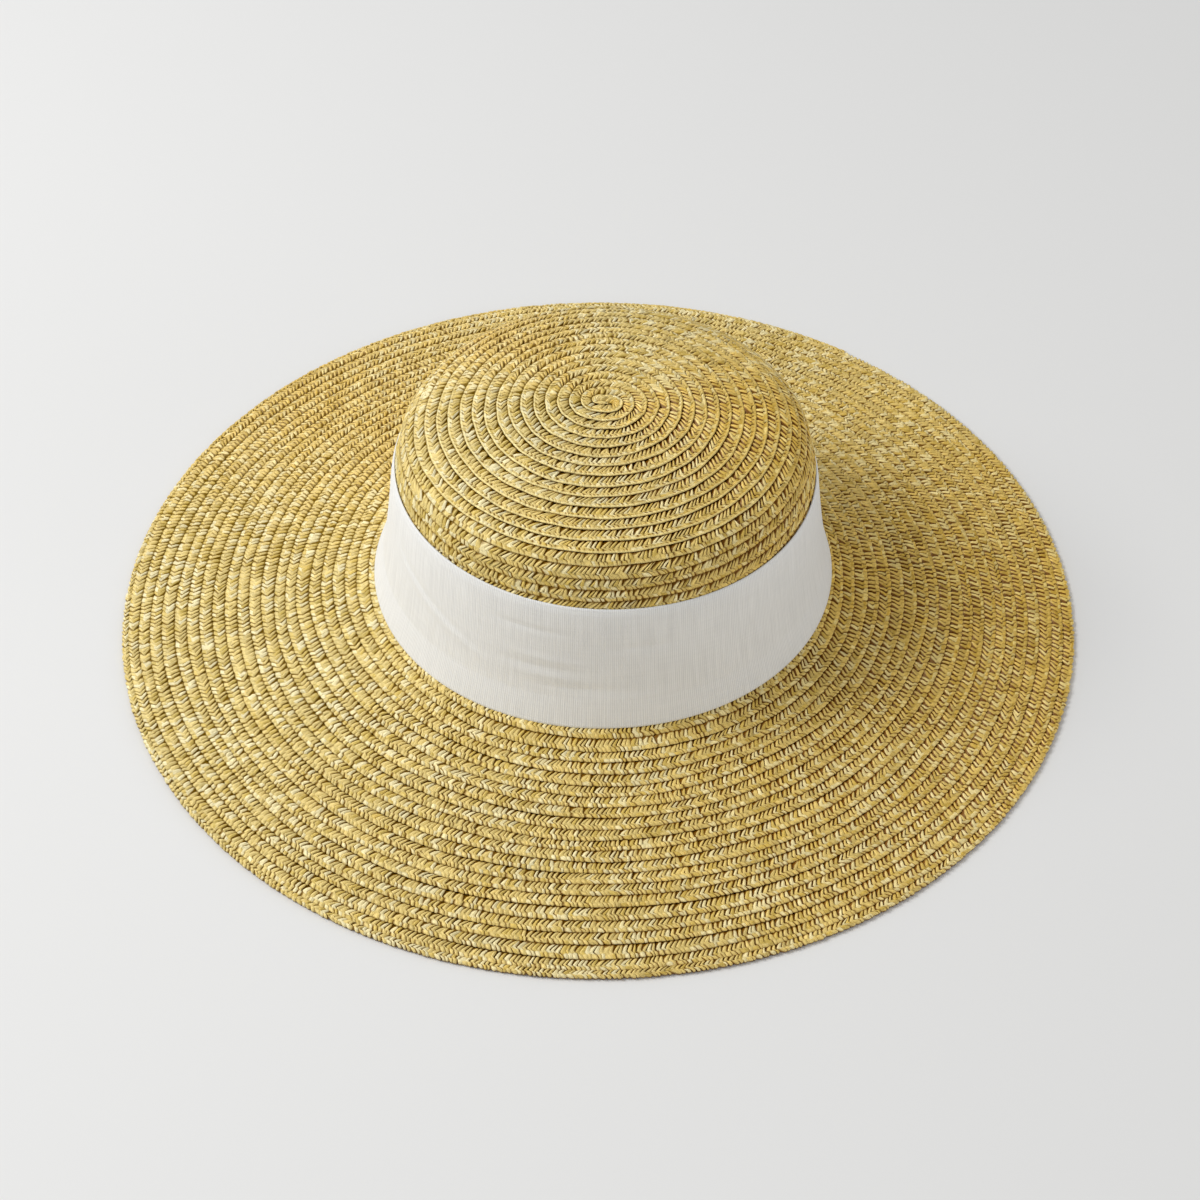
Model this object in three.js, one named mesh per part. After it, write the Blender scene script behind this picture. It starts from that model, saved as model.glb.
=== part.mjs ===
// Wide brim sun hat: a straw plait sewn in a spiral from the tip of the crown to the rim, with a cloth ribbon.
// Millimetres, +Z up, the rim lies on z = 0 and its circle is centred on the origin.
import * as THREE from 'three';

// Driving dimensions
const rimRadius = 208;
const rimTopHeight = 2.1;
const rowStep = 0.9;
const strawWall = 2.2;
const ribbonThickness = 1.0;
const pieceGap = 0.3;
const crownShift = 2.6;
const segmentsRound = 48;

// Outline of the straw seen from the side: distance from the tip, slope below level in degrees
const outline = [
  { distance: 0, slope: 0 },
  { distance: 31, slope: 5 },
  { distance: 57, slope: 13 },
  { distance: 71, slope: 15.5 },
  { distance: 81, slope: 34.5 },
  { distance: 91.5, slope: 73 },
  { distance: 102, slope: 80 },
  { distance: 115, slope: 84 },
  { distance: 140, slope: 81 },
  { distance: 158, slope: 78 },
  { distance: 164, slope: 28 },
  { distance: 176, slope: 12 },
  { distance: 200, slope: 9.6 },
  { distance: 285, slope: 6.5 },
];

// Places along the straw, as distances from the tip
const ribbonTop = 102.5;
const ribbonFoot = 162.4;
const crownFoot = 153;
const brimStart = crownFoot + pieceGap;
const sideBends = [115, 140];
const footBends = [158, 160.5];
const crownInside = [147, 138, 120, 102.5, 92, 84, 76, 55, 25];
const brimInside = [235, 200, 176, 168, 163, 158, brimStart];

// Rows of plait: where the spiral starts and ends, its turns, and its start in segments round from the front
const crownRows = { start: 2.3, end: 100.8, turns: 19, from: 6 };
const brimRows = { start: 163.5, end: 271, turns: 21, from: 20 };
const crownRowsClose = 101.9;

// Levels of the straw, measured out from the tops of its rows
const rowTop = 0;
const rowFoot = -rowStep;
const rowMiddle = -rowStep / 2;
const ribbonInside = rowMiddle + pieceGap;
const ribbonOutside = ribbonInside + ribbonThickness;
const strawInside = -strawWall;

// Smaller shape details
const walkStep = 0.25;
const rowDropWidth = 0.4;
const rowEndRise = 0.25;
const rowFadeSegments = 12;
const rimRounding = 0.6;
const rimLandWidth = 3;

// Colours
const strawColour = 0xcdb46e;
const ribbonColour = 0xe9e7e2;

function slopeAt(distance) {
  let k = 1;
  while (k < outline.length - 1 && outline[k].distance < distance) {
    k += 1;
  }
  const above = outline[k - 1];
  const below = outline[k];
  const part = (distance - above.distance) / (below.distance - above.distance);
  return THREE.MathUtils.degToRad(THREE.MathUtils.lerp(above.slope, below.slope, part));
}

// Walks down the outline from the tip until the rim is reached
function walkOutline() {
  const steps = [{ radius: 0, drop: 0 }];
  while (steps[steps.length - 1].radius < rimRadius) {
    const last = steps[steps.length - 1];
    const slope = slopeAt((steps.length - 0.5) * walkStep);
    steps.push({
      radius: last.radius + walkStep * Math.cos(slope),
      drop: last.drop + walkStep * Math.sin(slope),
    });
  }
  return steps;
}

const steps = walkOutline();
const tipHeight = rimTopHeight + steps[steps.length - 1].drop;

// Radius and height of the point at a distance from the tip, raised by level square to the straw
function onOutline(distance, level) {
  const place = distance / walkStep;
  const k = Math.min(Math.floor(place), steps.length - 2);
  const radius = THREE.MathUtils.lerp(steps[k].radius, steps[k + 1].radius, place - k);
  const drop = THREE.MathUtils.lerp(steps[k].drop, steps[k + 1].drop, place - k);
  const slope = slopeAt(distance);
  return { radius: radius + level * Math.sin(slope), height: tipHeight - drop + level * Math.cos(slope) };
}

// The crown stands a little to the right of the rim's centre, and the brim takes up the difference
const crownRadius = onOutline(ribbonFoot, rowTop).radius;

function shiftAt(radius) {
  const part = (rimRadius - radius) / (rimRadius - crownRadius);
  return crownShift * THREE.MathUtils.clamp(part, 0, 1);
}

// Segments are counted clockwise, seen from above, from the front of the hat
function spot(radius, height, segment) {
  const angle = -Math.PI / 2 - (2 * Math.PI * segment) / segmentsRound;
  return [shiftAt(radius) + radius * Math.cos(angle), radius * Math.sin(angle), height];
}

function strawSpot(distance, level, segment) {
  const { radius, height } = onOutline(distance, level);
  return spot(radius, height, segment);
}

// Collects the points and triangles of one closed solid
class Skin {
  constructor() {
    this.points = [];
    this.faces = [];
  }

  point(place) {
    this.points.push(...place);
    return this.points.length / 3 - 1;
  }

  ring(radius, height) {
    const ids = [];
    for (let k = 0; k < segmentsRound; k += 1) {
      ids.push(this.point(spot(radius, height, k)));
    }
    ids.push(ids[0]);
    return ids;
  }

  strawRing(distance, level) {
    const { radius, height } = onOutline(distance, level);
    return this.ring(radius, height);
  }

  tip(level) {
    return new Array(segmentsRound + 1).fill(this.point(strawSpot(0, level, 0)));
  }

  face(a, b, c) {
    if (a !== b && b !== c && c !== a) {
      this.faces.push(a, b, c);
    }
  }

  // Joins two lines of points, the lower one being further from the tip on the outer side
  strip(upper, lower) {
    for (let k = 0; k + 1 < upper.length; k += 1) {
      this.face(upper[k], upper[k + 1], lower[k + 1]);
      this.face(upper[k], lower[k + 1], lower[k]);
    }
  }

  strips(rings) {
    for (let k = 0; k + 1 < rings.length; k += 1) {
      this.strip(rings[k], rings[k + 1]);
    }
  }

  mesh(name, color, roughness) {
    const geometry = new THREE.BufferGeometry();
    geometry.setAttribute('position', new THREE.Float32BufferAttribute(this.points, 3));
    geometry.setIndex(this.faces);
    geometry.computeVertexNormals();
    const material = new THREE.MeshStandardMaterial({ color, roughness, metalness: 0 });
    const mesh = new THREE.Mesh(geometry, material);
    mesh.name = name;
    return mesh;
  }
}

// The same ring, beginning at another segment
function beginAt(ring, segment) {
  return ring.map((_, k) => ring[(segment + k) % segmentsRound]);
}

// Lays rows of plait in a spiral, each row ending in a small drop to the next one.
// The spiral starts from the first ring and runs out into the last one, and its drop fades at both ends.
function layRows(skin, firstRing, lastRing, rows) {
  const first = beginAt(firstRing, rows.from);
  const last = beginAt(lastRing, rows.from);
  const count = rows.turns * segmentsRound;
  const tops = [];
  const feet = [];
  for (let i = 0; i <= count; i += 1) {
    const distance = THREE.MathUtils.lerp(rows.start, rows.end, i / count);
    const segment = rows.from + i;
    const fade = Math.min(1, i / rowFadeSegments, (count - i) / rowFadeSegments);
    if (fade === 0) {
      const end = skin.point(strawSpot(distance, rowMiddle + rowEndRise, segment));
      tops.push(end);
      feet.push(end);
    } else {
      const top = THREE.MathUtils.lerp(rowMiddle, rowTop, fade);
      const foot = THREE.MathUtils.lerp(rowMiddle, rowFoot, fade);
      tops.push(skin.point(strawSpot(distance, top, segment)));
      feet.push(skin.point(strawSpot(distance + rowDropWidth, foot, segment)));
    }
  }
  const lastTurn = count - segmentsRound;
  skin.strip(first, tops.slice(0, segmentsRound + 1));
  skin.strip(tops, feet);
  skin.strip(feet.slice(0, lastTurn + 1), tops.slice(segmentsRound));
  skin.strip(feet.slice(lastTurn), last);
  skin.face(first[0], tops[0], tops[segmentsRound]);
  skin.face(feet[lastTurn], last[0], feet[count]);
}

function makeCrown() {
  const skin = new Skin();
  const side = [crownRowsClose, ...sideBends, crownFoot].map((d) => skin.strawRing(d, rowMiddle));
  layRows(skin, skin.tip(rowTop), side[0], crownRows);
  const inside = [crownFoot, ...crownInside].map((d) => skin.strawRing(d, strawInside));
  skin.strips([...side, ...inside, skin.tip(strawInside)]);
  return skin.mesh('crown', strawColour, 0.6);
}

function makeBrim() {
  const skin = new Skin();
  const foot = [brimStart, ...footBends, ribbonFoot].map((d) => skin.strawRing(d, rowMiddle));
  const inside = brimInside.map((d) => skin.strawRing(d, strawInside));
  const landRadius = rimRadius - rimRounding;
  const rimTop = skin.ring(landRadius, rimTopHeight - rimRounding / 2);
  const rimEdge = skin.ring(rimRadius, rimTopHeight / 2);
  const land = [landRadius, landRadius - rimLandWidth].map((radius) => skin.ring(radius, 0));
  layRows(skin, foot[foot.length - 1], rimTop, brimRows);
  skin.strips([rimTop, rimEdge, ...land, ...inside, ...foot]);
  return skin.mesh('brim', strawColour, 0.6);
}

function makeRibbon() {
  const skin = new Skin();
  const bends = [ribbonTop, ...sideBends, crownFoot, ...footBends, ribbonFoot];
  const outside = bends.map((d) => skin.strawRing(d, ribbonOutside));
  const inside = bends.map((d) => skin.strawRing(d, ribbonInside)).reverse();
  skin.strips([...outside, ...inside, outside[0]]);
  return skin.mesh('ribbon_band', ribbonColour, 0.8);
}

const hat = new THREE.Group();
hat.name = 'wide_brim_sun_hat';
hat.add(makeCrown(), makeBrim(), makeRibbon());

export default hat;
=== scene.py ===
# Looks of a wide brim sun hat: one straw plait sewn in a spiral, and a white cloth ribbon round the crown.
# Metres, +Z up, the rim lies on z = 0 and the front of the hat faces -Y.
# A turn is counted from the front round by the left. A distance is walked down the straw from the tip.
import math

import bpy
import numpy as np
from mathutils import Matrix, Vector


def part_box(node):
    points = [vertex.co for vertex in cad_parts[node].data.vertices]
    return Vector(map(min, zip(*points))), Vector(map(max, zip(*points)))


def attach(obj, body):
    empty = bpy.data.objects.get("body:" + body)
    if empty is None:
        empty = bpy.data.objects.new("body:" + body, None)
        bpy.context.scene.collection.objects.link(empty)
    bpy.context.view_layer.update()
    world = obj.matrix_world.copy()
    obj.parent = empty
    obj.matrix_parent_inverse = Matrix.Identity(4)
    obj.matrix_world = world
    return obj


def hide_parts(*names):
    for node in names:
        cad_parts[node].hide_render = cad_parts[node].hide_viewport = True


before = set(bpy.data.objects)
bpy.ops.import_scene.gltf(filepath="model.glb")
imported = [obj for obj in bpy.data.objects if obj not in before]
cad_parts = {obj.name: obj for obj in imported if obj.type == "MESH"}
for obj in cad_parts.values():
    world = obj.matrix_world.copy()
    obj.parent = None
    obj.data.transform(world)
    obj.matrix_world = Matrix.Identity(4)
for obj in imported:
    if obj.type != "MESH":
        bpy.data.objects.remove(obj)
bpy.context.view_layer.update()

MM = 0.001
CIRCLE = 2 * math.pi
BACK_TURN = 0.5
SCREEN_GAMMA = 2.2
SEED = 11
random = np.random.default_rng(SEED)


def table(columns, rows):
    """Rows of numbers under named columns."""
    return np.array(rows, dtype=[(name, float) for name in columns.split()])


def srgb(red, green, blue):
    """A shader's colour for levels from 0 to 255 on a screen."""
    return (np.array([red, green, blue]) / 255) ** SCREEN_GAMMA


# Sizes that come from the CAD part
rim_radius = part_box("brim")[1].x
tip_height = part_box("crown")[1].z
crown_shift = (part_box("ribbon_band")[0].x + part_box("ribbon_band")[1].x) / 2

# Outline of the straw seen from the side: distance from the tip in mm, slope below level in degrees
OUTLINE = table("distance slope", [
    (0, 0), (31, 5), (57, 13), (71, 15.5), (81, 34.5), (91.5, 73), (102, 80), (115, 84), (140, 81),
    (158, 78), (164, 28), (176, 12), (200, 9.6), (285, 6.5),
])
WALK_STEP = 0.05 * MM
WALK_END = 290 * MM

# Ribbon's edges: their distances from the tip, and how far each sinks to one side
RIBBON_TOP = 103.3 * MM
RIBBON_TOP_SINK = 2.2 * MM
RIBBON_FOOT = 162.4 * MM
RIBBON_FOOT_SINK = 1.6 * MM

# Ribbon's sheet: its height over the straw, the part of its width in which an edge turns in and how deep,
# and the part of its width below which it runs straight to its foot
RIBBON_THICKNESS = 0.5 * MM
RIBBON_LEVEL = 0.12 * MM
RIBBON_EDGE = 0.06
RIBBON_EDGE_SINK = 0.4 * MM
RIBBON_BEND = 0.76
RIBBON_POINTS_LONG = 320
RIBBON_POINTS_WIDE = 60

# Ribbon's lap over its start at the back: its length, its rise in thicknesses, and where the rise starts, in
# laps before the end
RIBBON_LAP = 24 * MM
LAP_RISE = 1.3
LAP_RISE_START = 2.2

# Creases of the ribbon: turns from the front, parts of the width down, height in mm, and width as a part
CREASES = table("turn_from turn_to part_from part_to height width", [
    (0.205, 0.085, 0.26, 0.58, -0.30, 0.032),
    (0.195, 0.075, 0.33, 0.65, 0.30, 0.036),
    (0.090, 0.020, 0.22, 0.24, -0.30, 0.026),
    (0.080, 0.000, 0.45, 0.48, 0.20, 0.026),
    (0.085, 0.015, 0.53, 0.54, -0.22, 0.024),
    (0.075, 0.005, 0.61, 0.60, 0.22, 0.026),
    (0.060, -0.020, 0.69, 0.67, -0.22, 0.024),
    (0.040, -0.060, 0.77, 0.74, 0.32, 0.028),
    (0.030, -0.070, 0.85, 0.82, -0.30, 0.028),
    (0.010, -0.060, 0.33, 0.32, -0.25, 0.026),
])

# Spiral of the plait: turns from its start in front, and the distance of the row's lip from the tip in mm.
# Each row is tucked under the one before it. The ribbon hides the rows between the band's two turns.
ROW_LIPS = table("turn distance", [
    (-1, 0.3), (0, 1.65), (19, 100.1), (32, 166.2), (52, 270.6), (52.6, 273.6), (53.6, 274.4),
])
LAST_TURN = ROW_LIPS["turn"][-1]
TUCK = 1.1 * MM
BAND_FROM = 20.45
BAND_TO = 30.6
CROWN_PIECES = 3
BRIM_PIECES = 5

# Start of the plait: it is folded over, so the first rows are drawn out along the fold
FOLD_REACH = 2.6 * MM
FOLD_TURN = 0.78
FOLD_FADE = 22 * MM
FOLD_SQUARENESS = 1.6

# Button, the first turn of the plait: the turns over which it ends, its least level in mm past a share of the
# row's width, and how much less painted shade its gaps and its line get
BUTTON_END = (0.7, 1.3)
BUTTON_LEVEL = -0.5
BUTTON_LEVEL_FROM = 0.2
BUTTON_PALER_GAP = 0.75
BUTTON_PALER_LINE = 0.7

# Limits near the tip: the radius inside which strands sweep less, and the least sweep, radius and distance
SWEEP_RADIUS = 10 * MM
LEAST_SWEEP = 0.05
LEAST_RADIUS = 1 * MM
LEAST_DISTANCE = 0.2 * MM

# Bends of the rows, which neighbouring rows share: waves in a turn and their size in mm
ROW_BENDS = table("rate size", [(2.04, 0.45), (2.95, 0.40), (5.06, 0.35), (7.93, 0.22), (11.1, 0.15)])

# Slow changes in a row's place and height: size, and slowest and fastest wave in a turn. Then the turns over
# which the change in place and the bends come in and go out, and over which the last row, the rim, begins
ROW_WANDER = (0.30 * MM, 0.7, 24)
ROW_LIFT = (0.16 * MM, 0.9, 11)
WANDER_IN = (0.5, 3)
WANDER_OUT = (LAST_TURN - 1.4, LAST_TURN - 1)
BEND_IN = (BAND_TO, BAND_TO + 3)
BEND_OUT = (LAST_TURN - 4, LAST_TURN - 1)
RIM_IN = (LAST_TURN - 1.2, LAST_TURN - 1)

# Waves of a slow change: how many, and the least and most share of their rates and sizes
WAVES = 9
WAVE_RATES = (0.85, 1.15)
WAVE_SIZES = (0.5, 1.5)

# Under the ribbon the straw is pressed in: how deep, and where that starts and ends from the ribbon's edges
PRESS_DEPTH = 0.5 * MM
PRESS_AT_TOP = (-0.5 * MM, 2 * MM)
PRESS_AT_FOOT = (-2 * MM, 1 * MM)

# Strands of the plait: places along a strand as shares of it, and heights there in mm, the first in the gap.
# Under the ribbon they are coarser. The row's outer half shows a strand that began some strands back.
# Spare strands come after the end of a plait, because its outer half is ahead.
STRAND_PLACES = (0, 0.32, 0.68)
STRAND_HEIGHTS = (-1.25, 0.8, 0.7)
BAND_PLACES = (0, 0.5)
BAND_HEIGHTS = (-1, 0.7)
BAND_COARSENESS = 1.15
LOWER_STRAND = 5
SPARE_STRANDS = 2
SPACING_POINTS = 20000

# How strands differ. A spread is a standard deviation. A wander is a slow change along the plait: its size,
# and its slowest and fastest wave in a strand. Jitter moves the places of gaps and ridges along a strand.
GAP_JITTER = 0.14
GAP_JITTER_LIMIT = 0.17
RIDGE_JITTER = 0.06
RIDGE_JITTER_LIMIT = 0.08
DEPTH_SPREAD = 0.28
DEPTH_WANDER = (0.2, 0.02, 0.25)
DEPTH_LIMITS = (0.6, 1.6)
BULGE_SPREAD = 0.35
STRAY_SPREAD = 0.035
SLANT_SPREAD = 0.38
SLANT_WANDER = (0.4, 0.005, 0.05)
TONE_SPREAD = 0.07
TONE_WANDER = (0.04, 0.01, 0.3)
WARMTH_SPREAD = 0.012
WARMTH_WANDER = (0.02, 0.003, 0.1)

# Grain of the plait at turns round the hat: a strand's spacing along the row in mm, how much it leans and
# stands out, how much painted shade the gaps between strands get on the row and near its lip, how dark the
# painted shade on the line between rows is, how pale the lips of the brim's rows and of the crown's rows are,
# how brown the painted shade is, and how warm the straw is. That warmth is mostly painted shade and light:
# the straw is warmer and deeper on the right, the shaded side, and cooler and paler on the left, towards the
# key lamp
GRAIN = table("turn spacing lean relief gap lip_gap line lip crown_lip brown warmth", [
    (0.00, 1.85, 1.1, 1.00, 0.94, 0.80, 1.15, 0.1, 1.0, 0.6, -0.01),
    (0.12, 2.15, 0.8, 0.95, 0.92, 0.95, 0.90, 0.6, 1.0, 0.3, -0.05),
    (0.18, 2.30, -1.0, 0.90, 0.96, 0.90, 0.98, 0.4, 0.9, 0.1, -0.08),
    (0.25, 2.40, -1.7, 0.85, 1.00, 0.90, 1.08, 0.2, 0.6, 0.0, -0.08),
    (0.30, 2.40, 0.4, 0.85, 1.15, 1.00, 1.12, 0.1, 0.4, 0.0, 0.01),
    (0.37, 2.30, 1.3, 0.90, 1.40, 1.20, 1.30, 0.0, 0.2, 0.3, 0.17),
    (0.50, 2.20, 1.0, 0.95, 1.02, 0.85, 0.95, 0.0, 0.1, 0.2, -0.06),
    (0.64, 2.20, 1.0, 0.95, 0.76, 0.60, 0.85, 0.2, 0.3, 0.5, 0.07),
    (0.75, 2.70, 0.9, 1.05, 1.80, 0.70, 0.70, 0.6, 0.8, 0.9, 0.24),
    (0.88, 2.15, 1.1, 1.00, 1.30, 0.70, 1.15, 0.5, 1.0, 0.9, 0.07),
])

# Section of the plait, round from its tucked edge over the top to the lip and back underneath.
# Across is a share of the row's width, and loose is how freely a strand strays across it.
# Other level is for the brim's last row, and for a crown's row with a plaited lip.
# Ridge and bead are how far a strand stands out up and outwards. Phase is how many steps it is ahead.
# Gap and top are painted shade: how dark the straw is painted between strands, and on them along the line
# between rows and at the lip. Levels and sweep are in mm.
# The crown's rows end in a smooth lip where it is pale, and the brim's rows are plaited to their edge.
# Under the ribbon the section has fewer columns.
SECTION_COLUMNS = "across loose level other_level ridge bead sweep phase gap top"
CROWN_SECTION = table(SECTION_COLUMNS, [
    (0.020, 0.0, -1.50, -1.50, 0.30, 0.00, 2.20, 0, 1.00, 1.00),
    (0.250, 0.3, -0.72, -0.72, 0.48, 0.00, 1.60, 0, 1.15, 0.42),
    (0.430, 1.0, -0.43, -0.43, 0.48, 0.00, 0.80, 0, 0.95, 0.00),
    (0.620, 1.0, -0.30, -0.30, 0.36, 0.00, 0.00, 0, 0.78, 0.00),
    (0.715, 0.8, -0.28, -0.28, 0.30, 0.00, 0.75, 1, 0.80, 0.00),
    (0.815, 0.2, -0.34, -0.29, 0.14, 0.00, 1.15, 1, 0.80, 0.38),
    (0.875, 0.0, -0.04, -0.31, 0.10, 0.00, 1.35, 1, 0.30, 0.00),
    (0.985, 0.0, -0.14, -0.52, 0.07, 0.05, 1.60, 1, 0.20, 0.00),
    (0.960, 0.0, -1.00, -1.00, 0.12, 0.00, 1.50, 1, 1.00, 0.75),
    (0.050, 0.0, -2.05, -2.05, 0.12, 0.00, 2.20, 0, 0.60, 0.00),
])
BRIM_SECTION = table(SECTION_COLUMNS, [
    (0.020, 0.0, -1.50, -1.50, 0.20, 0.00, 1.90, 0, 1.00, 1.00),
    (0.205, 0.2, -0.66, -0.66, 0.34, 0.00, 1.25, 0, 1.20, 0.52),
    (0.380, 1.0, -0.26, -0.26, 0.46, 0.00, 0.68, 0, 1.00, 0.00),
    (0.600, 1.0, -0.14, -0.14, 0.38, 0.00, 0.00, 0, 0.80, 0.00),
    (0.740, 0.8, -0.12, -0.12, 0.34, 0.00, 0.65, 1, 0.85, 0.00),
    (0.840, 0.3, -0.14, -0.14, 0.30, 0.00, 1.00, 1, 0.85, 0.00),
    (0.915, 0.0, -0.21, -0.28, 0.26, 0.08, 1.20, 1, 0.80, 0.00),
    (0.985, 0.0, -0.50, -0.72, 0.14, 0.18, 1.40, 1, 0.70, 0.34),
    (0.950, 0.0, -1.15, -1.95, 0.10, 0.15, 1.30, 1, 1.00, 0.75),
    (0.050, 0.0, -2.05, -2.15, 0.12, 0.00, 1.90, 0, 0.60, 0.00),
])
BAND_COLUMNS = [0, 1, 3, 7, 8, 9]
BAND_SECTION = CROWN_SECTION[BAND_COLUMNS]

# Lip of a row: its columns in the section, and the column of the notch above a smooth lip, which has painted
# shade. A plaited lip of the crown has darker painted shade in its gaps. The crown's smooth lips fade over
# these distances, in the rows above the ribbon. A gap deeper than the deepest gets no darker painted shade.
LIP_COLUMNS = (6, 7)
NOTCH_COLUMN = 5
PLAITED_LIP_GAP_SHADE = 0.6
CROWN_LIP_FADE = (74 * MM, 92 * MM)
DEEPEST_GAP = 1.2

# Colours of the strands and how many of them there are, and how much warmth takes from red, green and blue
STRAWS = table("red green blue share", [
    (232, 204, 124, 0.64),
    (246, 229, 171, 0.23),
    (218, 187, 97, 0.13),
])
WARMTH_TINT = (0, 0.5, 2)
LIP_COLOUR = srgb(244, 221, 148)
# Painted shade in the gaps between strands and on the lines between rows, olive or brown
OLIVE_PAINTED_SHADE = srgb(136, 105, 0)
BROWN_PAINTED_SHADE = srgb(120, 69, 0)
GLOSS_COLOUR = srgb(255, 236, 180)
RIBBON_COLOUR = srgb(243, 243, 241)
RIBBON_SHADE = srgb(235, 235, 233)
FLOOR_COLOUR = srgb(232, 232, 231)

# Surface of the straw: its fibres' steps of noise for each column across and each point along, and its gloss.
# A map turns values between its first two numbers into values between its last two.
NOISE = {"Scale": 1.0, "Detail": 2.0}
FIBRE_ACROSS = 0.6
FIBRE_ALONG = 2.2
FIBRE_MAP = (0.3, 0.7, 0.8, 1.12)
# Map from a point's painted shade to how much of the shade colour it takes
PAINTED_SHADE_MAP = (0.26, 0.72, 0, 1)
STRAW_BUMP = {"Strength": 0.35, "Distance": 0.15 * MM}
STRAW_SURFACE = {"Roughness": 0.4, "Specular IOR Level": 0.6, "Specular Tint": (*GLOSS_COLOUR, 1)}

# Surface of the ribbon: steps of noise in a mm along it and down it, its ribs, and how high its threads are.
# The wave texture's rate is in radians to a unit, at a scale of 1.
CLOTH_NOISES = {"rib": (1.3, 0.04), "thread": (0.05, 1.6), "cloud": (0.02, 0.05)}
WAVE_TEXTURE_RATE = 20
RIB_STEP_MM = 0.9
RIB_EVENNESS = 0.5
RIB_MAP = (0.4, 1.1, 0.88, 1.045)
THREAD_MAP = (0.3, 0.75, 0.98, 1.01)
THREAD_HEIGHT = 0.4
RIBBON_BUMP = {"Strength": 0.5, "Distance": 0.2 * MM}
RIBBON_SURFACE = {"Roughness": 0.85, "Specular IOR Level": 0.2}

# Baking map: free share of a line's width at each of its sides, where the end faces go, and the width of a
# column inside the ribbon, which hardly shows, beside one outside
LINE_MARGIN = 0.08
END_FACE_SPOT = 0.001
INSIDE_SHARE = 0.1

# A mix node's sockets for colours: share, first colour and second colour, and the result
MIX_INPUTS = (0, 6, 7)
MIX_RESULT = 2

# Stage: the floor's size and surface, the light from all round, and the camera
FLOOR_SIZE = 8.0
FLOOR_SURFACE = {"Base Color": (*FLOOR_COLOUR, 1), "Roughness": 0.9, "Specular IOR Level": 0.1}
WORLD_LIGHT = {"Color": (1, 1, 1, 1), "Strength": 0.49}
CAMERA_PLACE = (0, -0.7689, 0.7593)
CAMERA_AIM = (0.617 * MM, -0.867 * MM, -0.878 * MM)
CAMERA_LENS_MM = 73.56
CAMERA_SENSOR_MM = 36


# Outline walked down from the tip to the rim
walk = np.arange(0, WALK_END, WALK_STEP)
walk_slope = np.radians(np.interp(walk / MM, OUTLINE["distance"], OUTLINE["slope"]))
walk_radius = np.cumsum(np.cos(walk_slope)) * WALK_STEP
walk_drop = np.cumsum(np.sin(walk_slope)) * WALK_STEP
crown_radius = np.interp(RIBBON_FOOT, walk, walk_radius)


def angle_of(turn):
    """Angle round the upright axis of a turn from the front."""
    return -CIRCLE / 4 - CIRCLE * turn


def on_hat(distance, level, turn):
    """Points at a distance from the tip and a turn from the front, raised square to the straw by a level."""
    slope = np.interp(distance, walk, walk_slope)
    radius = np.interp(distance, walk, walk_radius) + level * np.sin(slope)
    height = tip_height - np.interp(distance, walk, walk_drop) + level * np.cos(slope)
    shift = crown_shift * np.clip((rim_radius - radius) / (rim_radius - crown_radius), 0, 1)
    angle = angle_of(turn)
    fold_angle = angle_of(FOLD_TURN)
    side = np.clip(FOLD_SQUARENESS * np.cos(angle - fold_angle), -1, 1)
    fold = FOLD_REACH * side * np.exp(-radius / FOLD_FADE)
    x = shift + radius * np.cos(angle) + fold * math.cos(fold_angle)
    y = radius * np.sin(angle) + fold * math.sin(fold_angle)
    return np.stack([x, y, height], axis=-1)


def smooth_step(value, start, end):
    """A share that goes smoothly from 0 at the start to 1 at the end."""
    part = np.clip((value - start) / (end - start), 0, 1)
    return part * part * (3 - 2 * part)


def between(value, rise, fall):
    """A share that goes from 0 to 1 over the rise and back to 0 over the fall."""
    return smooth_step(value, *rise) * (1 - smooth_step(value, *fall))


class Wander:
    """A smooth random line: a sum of sine waves, each with its own length and phase."""

    def __init__(self, size, slow, fast):
        self.rates = np.geomspace(slow, fast, WAVES) * random.uniform(*WAVE_RATES, WAVES)
        self.phases = random.uniform(0, CIRCLE, WAVES)
        self.sizes = size * random.uniform(*WAVE_SIZES, WAVES) / math.sqrt(WAVES)

    def __call__(self, place):
        total = np.zeros_like(place)
        for rate, phase, size in zip(self.rates, self.phases, self.sizes):
            total += size * np.sin(CIRCLE * rate * place + phase)
        return total


row_wander = Wander(*ROW_WANDER)
row_lift = Wander(*ROW_LIFT)


def row_bend(turn):
    total = np.zeros_like(turn)
    for row in ROW_BENDS:
        total += row["size"] * MM * np.sin(CIRCLE * row["rate"] * turn)
    return total


def grain(turn, column):
    """One column of the grain's table, at a turn round from the front."""
    return np.interp(turn, GRAIN["turn"], GRAIN[column], period=1)


def ribbon_edges(turn):
    """Distances of the ribbon's edges from the tip: its top sinks to the right and its foot to the left."""
    to_right = -np.sin(CIRCLE * turn)
    top = RIBBON_TOP + RIBBON_TOP_SINK * to_right
    foot = RIBBON_FOOT + RIBBON_FOOT_SINK * np.maximum(-to_right, 0)
    return top, foot


def lip_at(turn):
    """Distance from the tip to the lip of the row at a turn."""
    distance = np.interp(turn, ROW_LIPS["turn"], ROW_LIPS["distance"]) * MM
    wander = between(turn, WANDER_IN, WANDER_OUT) * row_wander(turn)
    bend = between(turn, BEND_IN, BEND_OUT) * row_bend(turn)
    return distance + wander + bend


def strand_starts(turn_from, turn_to, coarseness):
    """Turns at which the strands of a length of plait begin."""
    turns = np.linspace(turn_from, turn_to, SPACING_POINTS)
    radii = np.interp(lip_at(turns), walk, walk_radius)
    spacing = coarseness * grain(turns, "spacing") * MM
    strands = np.concatenate([[0], np.cumsum(CIRCLE * radii[1:] * np.diff(turns) / spacing[1:])])
    count = round(strands[-1])
    return np.interp(np.linspace(0, strands[-1], count + 1), strands, turns)


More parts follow.
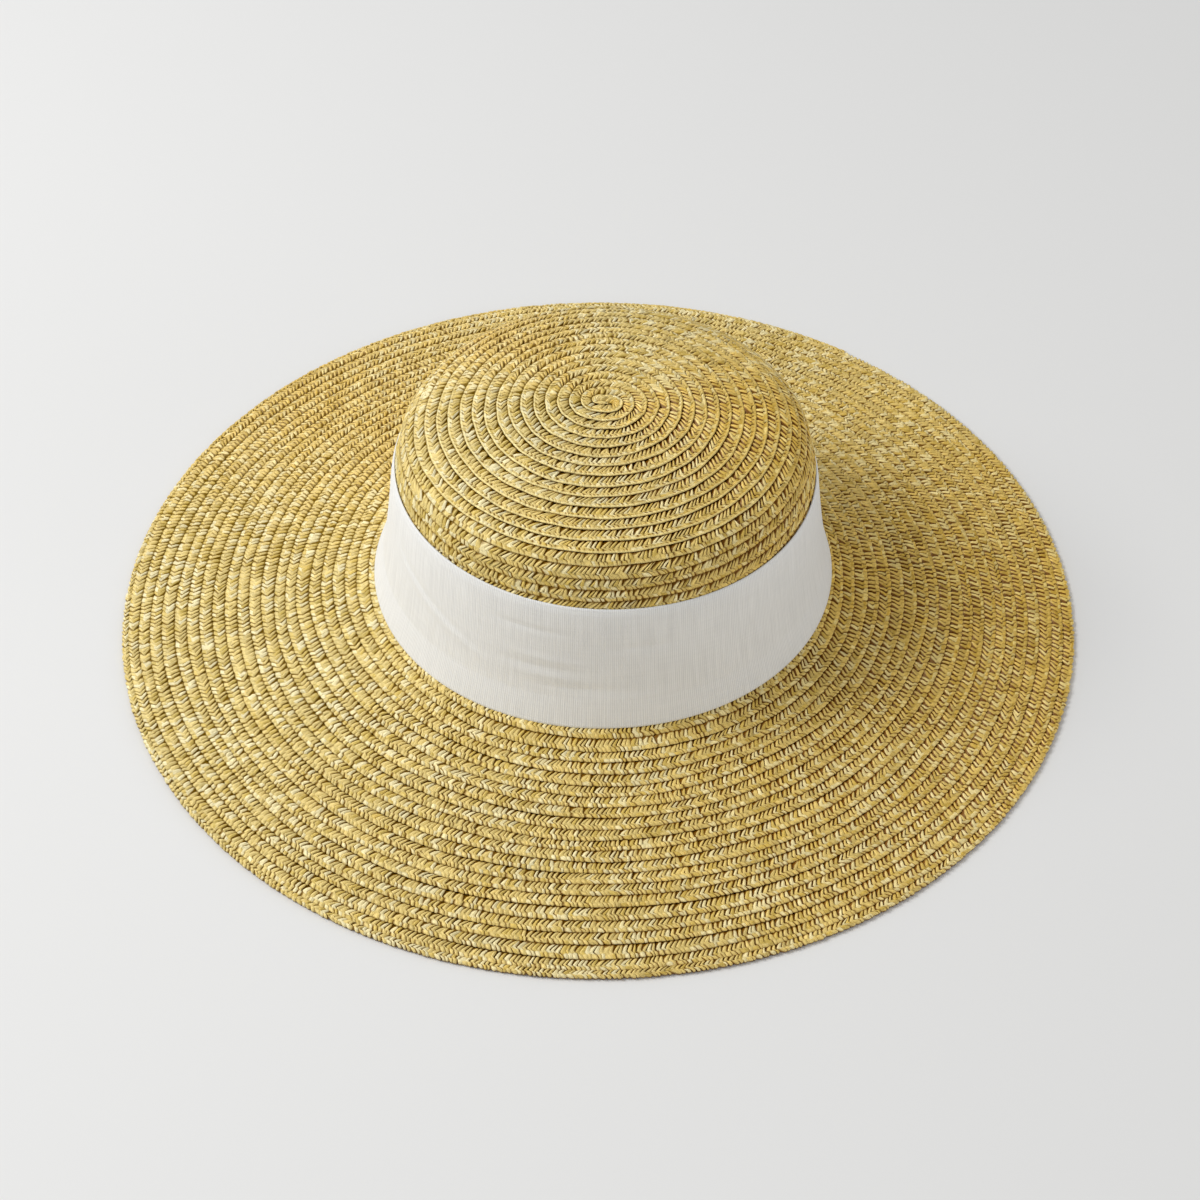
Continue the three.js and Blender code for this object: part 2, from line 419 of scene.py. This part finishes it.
class Plait:
    """A length of plait: points along it and round its section, and a strand's colour for each face.
    A point's owner is its strand, and its step is its place along the strand. Step 0 is the gap."""

    def __init__(self, turn_from, turn_to, section, places, heights, coarseness=1):
        starts = strand_starts(turn_from, turn_to, coarseness)
        count = len(starts) - 1
        strand = np.repeat(np.arange(count), len(places))
        step = np.tile(np.arange(len(places)), count)
        jitter = np.where(step == 0, GAP_JITTER, RIDGE_JITTER) * random.normal(size=len(step))
        limit = np.where(step == 0, GAP_JITTER_LIMIT, RIDGE_JITTER_LIMIT)
        places = np.array(places)[step] + np.clip(jitter, -limit, limit)
        turn = np.interp(strand + places, np.arange(count + 1), starts)[:, None]
        ahead = step[:, None] + section["phase"].astype(int)
        self.section = section
        self.owner = strand[:, None] + ahead // len(heights)
        self.step = ahead % len(heights)
        self.creases = self.step == 0
        self.count = count + SPARE_STRANDS
        self.lay(turn, np.array(heights))
        self.colour()

    def vary(self, middle, spread, wander=None):
        """A random number for each strand, with a slow change along the plait."""
        values = random.normal(middle, spread, self.count)
        if wander is not None:
            values = values + Wander(*wander)(np.arange(float(self.count)))
        return values

    def lay(self, turn, heights):
        """Lays the strands on the hat, each swept along the row by its lean."""
        section, owner = self.section, self.owner
        depth = np.clip(self.vary(1, DEPTH_SPREAD, DEPTH_WANDER), *DEPTH_LIMITS)
        bulge = self.vary(1, BULGE_SPREAD)
        stray = self.vary(0, STRAY_SPREAD)
        slant = self.vary(0, SLANT_SPREAD, SLANT_WANDER)
        size = np.where(self.creases, depth[owner], bulge[owner])
        rise = heights[self.step] * size * grain(turn, "relief") * MM
        # How much painted shade the gaps get, on the row or near its lip
        gap_shade_share = np.where(section["phase"] == 1, grain(turn, "lip_gap"), grain(turn, "gap"))

        radius = np.interp(lip_at(turn), walk, walk_radius)
        lean = grain(turn, "lean") + slant[owner]
        sweep = section["sweep"] * MM * lean * np.clip(radius / SWEEP_RADIUS, LEAST_SWEEP, 1)
        turn = turn - sweep / (CIRCLE * np.maximum(radius, LEAST_RADIUS))
        outer = lip_at(turn)
        inner = np.maximum(lip_at(turn - 1) - TUCK, LEAST_DISTANCE)
        rim = smooth_step(turn, *RIM_IN)
        distance = inner + (section["across"] + section["loose"] * stray[owner]) * (outer - inner)
        distance = distance + rise * section["bead"] * (1 + rim)

        self.lip = self.lip_paleness(turn, outer)
        button = 1 - smooth_step(turn, *BUTTON_END)
        level = self.levels(rim, button) * MM + rise * section["ridge"] + row_lift(turn) * (1 - rim)
        self.points = on_hat(distance, level - PRESS_DEPTH * self.pressed(distance, turn), turn)
        self.painted_shades = self.paint_shade(turn, size, gap_shade_share, button)
        self.warmth = grain(turn[:, 0], "warmth")
        self.brown = grain(turn, "brown")

    def lip_paleness(self, turn, outer):
        """How pale the row's lip is along the plait. On the crown it is smooth where it is pale."""
        if self.section is CROWN_SECTION:
            return grain(turn[:, :1], "crown_lip") * (1 - smooth_step(outer[:, :1], *CROWN_LIP_FADE))
        return grain(turn[:, :1], "lip")

    def levels(self, rim, button):
        """Levels of the section in mm, with those of the rim, of a plaited lip and of the button."""
        section = self.section
        other = 1 - self.lip if section is CROWN_SECTION else rim
        level = section["level"] + other * (section["other_level"] - section["level"])
        lift = np.maximum(BUTTON_LEVEL - section["level"], 0)
        return level + button * (section["across"] > BUTTON_LEVEL_FROM) * lift

    def pressed(self, distance, turn):
        """How far the ribbon presses the straw in."""
        top, foot = ribbon_edges(turn)
        at_top = [top + past for past in PRESS_AT_TOP]
        at_foot = [foot + past for past in PRESS_AT_FOOT]
        return between(distance, at_top, at_foot)

    def paint_shade(self, turn, size, gap_shade_share, button):
        """Painted shade at each point: in the gaps between strands, and at the line between rows."""
        gap = self.section["gap"]
        top = self.section["top"]
        if self.section is CROWN_SECTION:
            column = np.arange(len(self.section))
            gap = gap + np.isin(column, LIP_COLUMNS) * PLAITED_LIP_GAP_SHADE * (1 - self.lip)
            top = top * np.where(column == NOTCH_COLUMN, self.lip, 1)
        painted_shades = gap * np.clip(size, 0, DEEPEST_GAP) * gap_shade_share * (1 - BUTTON_PALER_GAP * button)
        lines = top * grain(turn, "line") * (1 - BUTTON_PALER_LINE * button)
        return np.where(self.creases, painted_shades, lines)

    def colour(self):
        """Gives each strand one of the straw's colours, in its own tone and warmth. Part of the warmth is
        painted shade and light by the strand's turn round the hat.
        """
        tones = self.vary(1, TONE_SPREAD, TONE_WANDER)
        warmth = self.vary(0, WARMTH_SPREAD, WARMTH_WANDER)
        # Painted shade and light: warmth by the turn round the hat, deeper on the shaded right, paler on the
        # lit left
        warmth += np.interp(np.arange(self.count), self.owner[:, 0], self.warmth)
        kinds = random.choice(len(STRAWS), size=self.count, p=STRAWS["share"])
        tint = (1 - np.outer(warmth, WARMTH_TINT)) * tones[:, None]
        colours = srgb(STRAWS["red"], STRAWS["green"], STRAWS["blue"]).T[kinds] * tint
        self.colours = colours[self.owner]
        lower = (self.section["phase"] == 1).nonzero()[0]
        self.colours[:, lower] = colours[np.maximum(self.owner[:, lower] - LOWER_STRAND, 0)]
        if self.section is not BAND_SECTION:
            lips = (LIP_COLOUR * tint)[self.owner[:, LIP_COLUMNS]]
            self.colours[:, LIP_COLUMNS] += self.lip[..., None] * (lips - self.colours[:, LIP_COLUMNS])


def set_attribute(mesh, name, kind, domain, field, values):
    layer = mesh.attributes.new(name, kind, domain)
    layer.data.foreach_set(field, np.ascontiguousarray(values, np.float32).ravel())


def flat_places(first, second):
    """Places on a flat piece of straw or cloth, for its textures."""
    first, second = np.broadcast_arrays(first, second)
    return np.stack([first, second, np.zeros(first.shape)], axis=-1)


def tube_faces(count, columns):
    """Faces of a tube, each by its four points: the sides and the ends."""
    i, c = np.meshgrid(np.arange(count - 1), np.arange(columns), indexing="ij")
    after = (c + 1) % columns
    corners = [(i, c), (i + 1, c), (i + 1, after), (i, after)]
    sides = np.stack([row * columns + column for row, column in corners], axis=-1).reshape(-1, 4)
    half = np.arange(columns // 2 - 1)
    front = np.stack([half, half + 1, columns - 2 - half, columns - 1 - half], axis=-1)
    back = front[:, ::-1] + (count - 1) * columns
    return sides, np.concatenate([front, back])


def baking_map(count, columns, shares):
    """Corners of a tube's sides on the baking map. They lie in lines, and shares are the columns' widths."""
    i, c = np.meshgrid(np.arange(count - 1), np.arange(columns), indexing="ij")
    edges = np.concatenate([[0], np.cumsum(shares)]) / shares.sum()
    lines = max(1, round(math.sqrt(count / shares.sum())))
    per_line = math.ceil((count - 1) / lines)
    line = i // per_line
    place = i - line * per_line
    along = np.stack([place, place + 1, place + 1, place], axis=-1) / per_line
    across = np.stack([edges[c], edges[c], edges[c + 1], edges[c + 1]], axis=-1)
    across = (line[..., None] + LINE_MARGIN + (1 - 2 * LINE_MARGIN) * across) / lines
    return np.stack([along, across], axis=-1).reshape(-1, 4, 2)


def sharpen(mesh, creases, columns):
    """Makes an edge across a tube sharp where both its points are creases."""
    ends = np.empty(2 * len(mesh.edges), np.int32)
    mesh.edges.foreach_get("vertices", ends)
    ends = ends.reshape(-1, 2)
    crosses = ends[:, 0] // columns == ends[:, 1] // columns
    layer = mesh.attributes.new("sharp_edge", "BOOLEAN", "EDGE")
    layer.data.foreach_set("value", creases.ravel()[ends].all(axis=1) & crosses)


def make_tube(name, points, material, creases=None, shares=None):
    """A closed solid from a grid of points: along it, and round its section."""
    count, columns = points.shape[:2]
    sides, ends = tube_faces(count, columns)
    faces = np.concatenate([sides, ends])
    mesh = bpy.data.meshes.new(name)
    mesh.vertices.add(count * columns)
    mesh.vertices.foreach_set("co", points.astype(np.float32).ravel())
    mesh.loops.add(faces.size)
    mesh.loops.foreach_set("vertex_index", faces.astype(np.int32).ravel())
    mesh.polygons.add(len(faces))
    mesh.polygons.foreach_set("loop_start", np.arange(0, faces.size, 4, dtype=np.int32))
    mesh.update(calc_edges=True)
    mesh.shade_smooth()
    if creases is not None:
        sharpen(mesh, creases, columns)

    shares = np.ones(columns) if shares is None else np.array(shares)
    bake = baking_map(count, columns, shares)
    end_faces = np.full((len(ends), 4, 2), END_FACE_SPOT)
    set_attribute(mesh, "OFBake", "FLOAT2", "CORNER", "vector", np.concatenate([bake, end_faces]))

    thing = bpy.data.objects.new(name, mesh)
    bpy.context.scene.collection.objects.link(thing)
    mesh.materials.append(material)
    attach(thing, "root")
    return thing


def feed(tree, socket, value):
    """Links a socket to another one, or sets its value."""
    if isinstance(value, bpy.types.NodeSocket):
        tree.links.new(value, socket)
    else:
        socket.default_value = value


def set_inputs(node, values):
    for name, value in values.items():
        node.inputs[name].default_value = value


def add_node(tree, kind, settings=None, **inputs):
    node = tree.nodes.new(kind)
    for name, value in (settings or {}).items():
        setattr(node, name, value)
    for name, value in inputs.items():
        feed(tree, node.inputs[name], value)
    return node


def new_material(name):
    material = bpy.data.materials.new(name)
    material.use_nodes = True
    tree = material.node_tree
    return material, tree, tree.nodes["Principled BSDF"]


def map_range(tree, value, from_min, from_max, to_min, to_max):
    node = add_node(tree, "ShaderNodeMapRange", {"interpolation_type": "SMOOTHSTEP"}, Value=value)
    set_inputs(node, {"From Min": from_min, "From Max": from_max, "To Min": to_min, "To Max": to_max})
    return node.outputs["Result"]


def calculate(tree, operation, *values):
    node = add_node(tree, "ShaderNodeMath", {"operation": operation})
    for socket, value in zip(node.inputs, values):
        feed(tree, socket, value)
    return node.outputs["Value"]


def mix_colours(tree, share, first, second):
    node = add_node(tree, "ShaderNodeMix", {"data_type": "RGBA"})
    for socket, value in zip(MIX_INPUTS, (share, first, second)):
        feed(tree, node.inputs[socket], value)
    return node.outputs[MIX_RESULT]


def scale_colour(tree, colour, scale):
    node = add_node(tree, "ShaderNodeVectorMath", {"operation": "SCALE"}, Scale=scale)
    feed(tree, node.inputs[0], colour)
    return node.outputs["Vector"]


def attribute(tree, name, output):
    return add_node(tree, "ShaderNodeAttribute", {"attribute_name": name}).outputs[output]


def finish_surface(tree, shader, colour, height, bump, surface):
    """Gives a shader its colour, a bump from a height, and the values that are the same all over."""
    bump_node = add_node(tree, "ShaderNodeBump", Height=height, **bump)
    feed(tree, shader.inputs["Base Color"], colour)
    feed(tree, shader.inputs["Normal"], bump_node.outputs["Normal"])
    set_inputs(shader, surface)


def straw_material():
    """Straw: fine streaks along each strand, and painted olive or brown shade in the gaps between strands and
    on the lines between rows.
    """
    material, tree, shader = new_material("straw_plait")
    place = attribute(tree, "fibre", "Vector")
    fibres = add_node(tree, "ShaderNodeTexNoise", Vector=place, **NOISE).outputs["Fac"]
    streak = map_range(tree, fibres, *FIBRE_MAP)
    straw_colour = scale_colour(tree, attribute(tree, "strand", "Color"), streak)
    # Painted shade darkens the straw in its gaps and on the lines between rows, from olive to brown
    gap = map_range(tree, attribute(tree, "gap", "Fac"), *PAINTED_SHADE_MAP)
    painted_shade_colour = mix_colours(tree, attribute(tree, "brown", "Fac"), (*OLIVE_PAINTED_SHADE, 1), (*BROWN_PAINTED_SHADE, 1))
    colour = mix_colours(tree, gap, straw_colour, painted_shade_colour)
    finish_surface(tree, shader, colour, fibres, STRAW_BUMP, STRAW_SURFACE)
    return material


def ribbon_material():
    """White cloth: fine ribs across the ribbon with painted shade in their hollows, thicker threads here and
    there along it, and faint clouds.
    """
    material, tree, shader = new_material("ribbon_cloth")
    cloth = attribute(tree, "cloth", "Vector")
    noises = {}
    for name, scale in CLOTH_NOISES.items():
        place = add_node(tree, "ShaderNodeVectorMath", {"operation": "MULTIPLY"})
        feed(tree, place.inputs[0], cloth)
        feed(tree, place.inputs[1], (*scale, 0))
        noise = add_node(tree, "ShaderNodeTexNoise", Vector=place.outputs["Vector"], **NOISE)
        noises[name] = noise.outputs["Fac"]
    rib_scale = CIRCLE / WAVE_TEXTURE_RATE / RIB_STEP_MM
    even_ribs = add_node(tree, "ShaderNodeTexWave", Vector=cloth, Scale=rib_scale).outputs["Fac"]
    ribs = calculate(tree, "MULTIPLY_ADD", even_ribs, RIB_EVENNESS, noises["rib"])
    # The ribs are the weave's own pattern, and their colour darkens where their bump is low: painted shade in
    # the rib hollows
    rib_tone_and_shade = map_range(tree, ribs, *RIB_MAP)
    threads = map_range(tree, noises["thread"], *THREAD_MAP)
    paint = mix_colours(tree, noises["cloud"], (*RIBBON_COLOUR, 1), (*RIBBON_SHADE, 1))
    colour = scale_colour(tree, paint, calculate(tree, "MULTIPLY", rib_tone_and_shade, threads))
    height = calculate(tree, "MULTIPLY_ADD", noises["thread"], THREAD_HEIGHT, ribs)
    finish_surface(tree, shader, colour, height, RIBBON_BUMP, RIBBON_SURFACE)
    return material


def lay_straw(name, plait, start, end, material, node):
    """Makes one piece of the hat from part of a plait, for a node of the CAD part."""
    part = slice(start, end)
    thing = make_tube(name, plait.points[part], material, plait.creases[part])
    mesh = thing.data
    count, columns = plait.points[part].shape[:2]
    strand = plait.colours[part][:-1].reshape(-1, 3)
    ends = np.repeat(strand[:1], len(mesh.polygons) - len(strand), axis=0)
    colours = np.concatenate([strand, ends])
    set_attribute(mesh, "strand", "FLOAT_COLOR", "FACE", "color", np.insert(colours, 3, 1, axis=1))
    # Painted shade at each point, and how brown that shade is
    set_attribute(mesh, "gap", "FLOAT", "POINT", "value", plait.painted_shades[part])
    set_attribute(mesh, "brown", "FLOAT", "POINT", "value", plait.brown[part])
    across = np.arange(columns) * FIBRE_ACROSS
    along = np.arange(start, start + count)[:, None] * FIBRE_ALONG
    set_attribute(mesh, "fibre", "FLOAT_VECTOR", "POINT", "vector", flat_places(across, along))
    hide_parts(node)


def lay_pieces(name, plait, pieces, material, node):
    """Cuts a plait into pieces of about the same length."""
    cuts = np.linspace(0, len(plait.points), pieces + 1).astype(int)
    for k in range(pieces):
        lay_straw(f"{name}_{k + 1}", plait, cuts[k], cuts[k + 1] + 1, material, node)


def straight_foot(points):
    """The ribbon leaves the straw near its foot and runs straight to its edge."""
    bend = round(RIBBON_BEND * (points.shape[1] - 1))
    part = np.linspace(0, 1, points.shape[1] - bend)[:, None]
    points[:, bend:] = points[:, bend, None] * (1 - part) + points[:, -1, None] * part
    return points


def crease_height(turn, part):
    """Height of the ribbon's creases at a turn round and a part of its width down."""
    height = np.zeros(np.broadcast(turn, part).shape)
    for row in CREASES:
        reach = np.clip((turn - row["turn_from"]) / (row["turn_to"] - row["turn_from"]), 0, 1)
        line = row["part_from"] + (row["part_to"] - row["part_from"]) * reach
        fade = np.sin(np.pi * reach)
        height += row["height"] * MM * fade * np.exp(-(((part - line) / row["width"]) ** 2))
    return height


def make_ribbon():
    """The ribbon goes once round from the back to the back, where its end lies over its start."""
    lap_turns = RIBBON_LAP / (CIRCLE * crown_radius)
    turn_from = BACK_TURN - lap_turns / 2
    turn_to = BACK_TURN + 1 + lap_turns
    turn = np.linspace(turn_from, turn_to, RIBBON_POINTS_LONG)[:, None]
    part = np.linspace(0, 1, RIBBON_POINTS_WIDE)
    top, foot = ribbon_edges(turn)
    across = top + (foot - top) * part
    rise = smooth_step(turn, turn_to - LAP_RISE_START * lap_turns, turn_to - lap_turns)
    lap = LAP_RISE * RIBBON_THICKNESS * rise
    edge = 1 - smooth_step(np.minimum(part, 1 - part), 0, RIBBON_EDGE)
    level = RIBBON_LEVEL + lap + crease_height(turn - 1, part) - RIBBON_EDGE_SINK * edge
    inside = straight_foot(on_hat(across, level, turn))
    outside = straight_foot(on_hat(across, level + RIBBON_THICKNESS, turn))
    points = np.concatenate([outside, inside[:, ::-1]], axis=1)
    shares = [1.0] * RIBBON_POINTS_WIDE + [INSIDE_SHARE] * RIBBON_POINTS_WIDE
    ribbon = make_tube("ribbon", points, ribbon_material(), shares=shares)
    along = turn * CIRCLE * crown_radius / MM
    down = np.concatenate([part, part[::-1]]) * (RIBBON_FOOT - RIBBON_TOP) / MM
    set_attribute(ribbon.data, "cloth", "FLOAT_VECTOR", "POINT", "vector", flat_places(along, down))
    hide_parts("ribbon_band")


def make_floor():
    reach = FLOOR_SIZE / 2
    corners = [(-reach, -reach, 0), (reach, -reach, 0), (reach, reach, 0), (-reach, reach, 0)]
    mesh = bpy.data.meshes.new("floor")
    mesh.from_pydata(corners, [], [(0, 1, 2, 3)])
    floor = bpy.data.objects.new("floor", mesh)
    bpy.context.scene.collection.objects.link(floor)
    material, _, shader = new_material("pale_floor")
    set_inputs(shader, FLOOR_SURFACE)
    mesh.materials.append(material)


def set_world():
    """Even light from all round, which gloss doesn't show."""
    world = bpy.data.worlds.new("studio")
    world.use_nodes = True
    set_inputs(world.node_tree.nodes["Background"], WORLD_LIGHT)
    world.cycles_visibility.glossy = False
    bpy.context.scene.world = world


def turn_to_face(thing, place, aim):
    thing.location = place
    thing.rotation_mode = "QUATERNION"
    thing.rotation_quaternion = (Vector(aim) - Vector(place)).to_track_quat("-Z", "Y")


def soft_light(name, place, size, power, gloss_only=False):
    lamp = bpy.data.lights.new(name, "AREA")
    lamp.size = size
    lamp.energy = power
    thing = bpy.data.objects.new(name, lamp)
    turn_to_face(thing, place, aim=(0, 0, 0))
    thing.visible_diffuse = not gloss_only
    bpy.context.scene.collection.objects.link(thing)


def set_camera():
    camera = bpy.data.objects.new("camera", bpy.data.cameras.new("camera"))
    camera.data.sensor_width = CAMERA_SENSOR_MM
    camera.data.lens = CAMERA_LENS_MM
    turn_to_face(camera, CAMERA_PLACE, CAMERA_AIM)
    bpy.context.scene.collection.objects.link(camera)
    bpy.context.scene.camera = camera
    bpy.context.scene.view_settings.view_transform = "Standard"


# Hat
straw = straw_material()
crown = Plait(0, BAND_FROM, CROWN_SECTION, STRAND_PLACES, STRAND_HEIGHTS)
lay_pieces("crown_plait", crown, CROWN_PIECES, straw, "crown")
band = Plait(BAND_FROM, BAND_TO, BAND_SECTION, BAND_PLACES, BAND_HEIGHTS, BAND_COARSENESS)
lay_pieces("band_plait", band, 1, straw, "crown")
brim = Plait(BAND_TO, LAST_TURN, BRIM_SECTION, STRAND_PLACES, STRAND_HEIGHTS)
lay_pieces("brim_plait", brim, BRIM_PIECES, straw, "brim")
make_ribbon()

# Floor, lamps and camera. A lamp's place and size are in metres and its power is in watts.
make_floor()
set_world()
soft_light("key", place=(-1.75, 0.05, 1.75), size=1.2, power=40)
soft_light("fill", place=(2.0, -0.9, 0.3), size=1.0, power=8)
soft_light("sheen", place=(-1.25, 2.1, 1.7), size=2.4, power=55, gloss_only=True)
set_camera()
